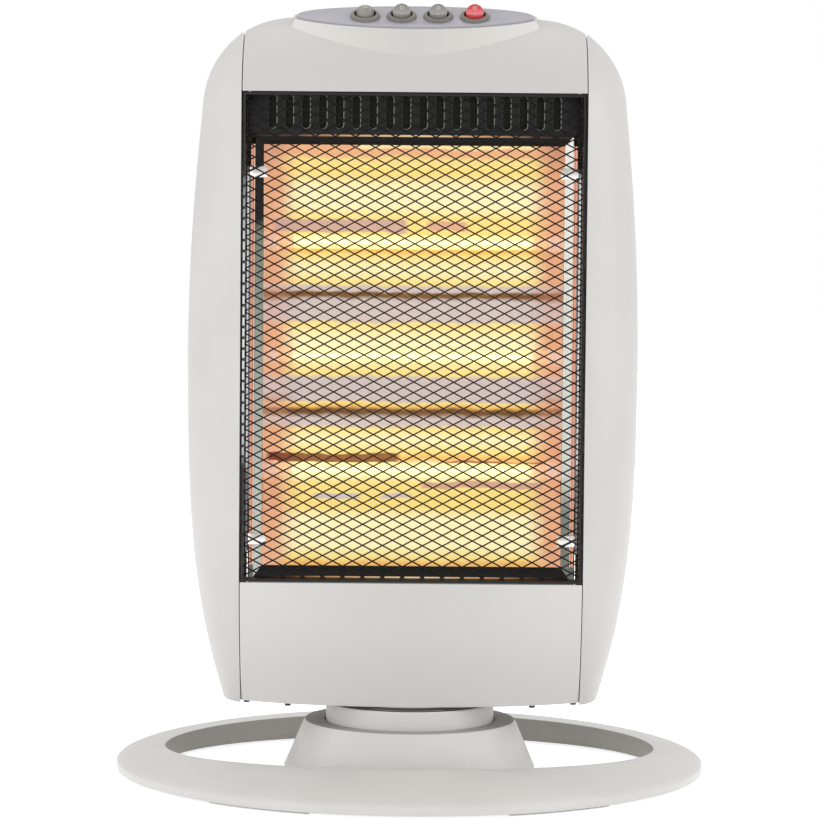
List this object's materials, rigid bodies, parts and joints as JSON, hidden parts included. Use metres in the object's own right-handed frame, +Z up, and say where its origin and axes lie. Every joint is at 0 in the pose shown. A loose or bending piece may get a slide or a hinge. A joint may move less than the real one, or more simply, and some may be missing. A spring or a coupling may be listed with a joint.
{
  "type": "halogen heater",
  "caption": "Upright halogen heater with quartz tubes behind a diamond grille, on an oscillating round base, with rocker switches on top.",
  "frame": {"origin": "middle of the round base on the surface it stands on, on the swivel axis", "axes": "+Z up, the grille faces -Y, +X to the right as seen from the front with the viewer facing +Y"},
  "size_m": [0.4219, 0.422, 0.5476],
  "materials": {
    "white_plastic": "warm white moulded plastic with a fine satin grain",
    "panel_plastic": "pale lavender grey satin plastic",
    "dark_plastic": "black heat-resistant plastic",
    "natural_plastic": "natural acetal",
    "foot_rubber": "pale grey soft rubber",
    "zinc_steel": "zinc-plated steel",
    "black_steel": "black heat-resistant enamel",
    "mirror_aluminium": "polished aluminium sheet",
    "quartz": "clear quartz tube",
    "tungsten": "glowing tungsten coil",
    "ceramic_white": "white steatite",
    "bezel_plastic": "olive grey satin plastic",
    "rocker_grey": "grey glossy plastic",
    "rocker_red": "red translucent plastic"
  },
  "bodies": {
    "base": {"base_ring": "white_plastic", "base_plate": "zinc_steel", "foot_pads": "foot_rubber", "hub_cover": "white_plastic", "hub_screws": "zinc_steel", "base_screws": "zinc_steel", "crank_guide": "natural_plastic", "tip_switch": "dark_plastic", "slide_ring": "natural_plastic"},
    "head": {"turntable": "white_plastic", "turntable_screws": "zinc_steel", "body_tray": "white_plastic", "front_lower_panel": "white_plastic", "side_panel_left": "white_plastic", "side_panel_right": "white_plastic", "upper_housing": "white_plastic", "control_panel": "panel_plastic", "back_cover": "white_plastic", "back_screws": "zinc_steel", "cable_gland": "dark_plastic", "chassis": "zinc_steel", "guard_mesh": "black_steel", "guard_frame": "black_steel", "guard_clips": "zinc_steel", "vent_plate": "black_steel", "reflector_frame": "black_steel", "reflector": "mirror_aluminium", "reflector_end_left": "mirror_aluminium", "reflector_end_right": "mirror_aluminium", "tube_glass": "quartz", "tube_filaments": "tungsten", "tube_caps": "ceramic_white", "tube_bracket_left": "zinc_steel", "tube_bracket_right": "zinc_steel", "thermal_cutout": "dark_plastic", "terminal_block": "natural_plastic", "swing_motor": "zinc_steel", "switch_cases": "dark_plastic", "switch_bezels": "bezel_plastic"},
    "plunger": {"tip_plunger": "natural_plastic"},
    "crank": {"motor_crank": "natural_plastic"},
    "swing_rocker": {"rocker_swing": "rocker_grey"},
    "first_rocker": {"rocker_tube_1": "rocker_grey"},
    "second_rocker": {"rocker_tube_2": "rocker_grey"},
    "power_rocker": {"rocker_power": "rocker_red"}
  },
  "joints": [
    {"name": "head_swivel", "type": "hinge", "parent": "base", "child": "head", "pos_m": [0, 0, 0.04], "axis": [0, 0, 1], "range_deg": [-35, 35]},
    {"name": "crank_turn", "type": "hinge", "parent": "head", "child": "crank", "pos_m": [0, -0.0209, 0.045], "axis": [0, 0, 1], "range_deg": [-126, 126]},
    {"name": "plunger_slide", "type": "slide", "parent": "base", "child": "plunger", "axis": [0, 0, -1], "range_m": [0, 0.005], "stiffness_N_per_m": 120, "springref_m": 0.01},
    {"name": "swing_rocker_tilt", "type": "hinge", "parent": "head", "child": "swing_rocker", "pos_m": [-0.0357, -0.02739, 0.53735], "axis": [1, 0, 0], "range_deg": [0, 30]},
    {"name": "first_rocker_tilt", "type": "hinge", "parent": "head", "child": "first_rocker", "pos_m": [-0.0099, -0.02739, 0.53735], "axis": [1, 0, 0], "range_deg": [-30, 0]},
    {"name": "second_rocker_tilt", "type": "hinge", "parent": "head", "child": "second_rocker", "pos_m": [0.0159, -0.02739, 0.53735], "axis": [1, 0, 0], "range_deg": [-30, 0]},
    {"name": "power_rocker_tilt", "type": "hinge", "parent": "head", "child": "power_rocker", "pos_m": [0.0417, -0.02739, 0.53735], "axis": [1, 0, 0], "range_deg": [-30, 0]}
  ],
  "couplings": [
    {"joint": "crank_turn", "follows": "head_swivel", "ratio": -3.5714}
  ]
}
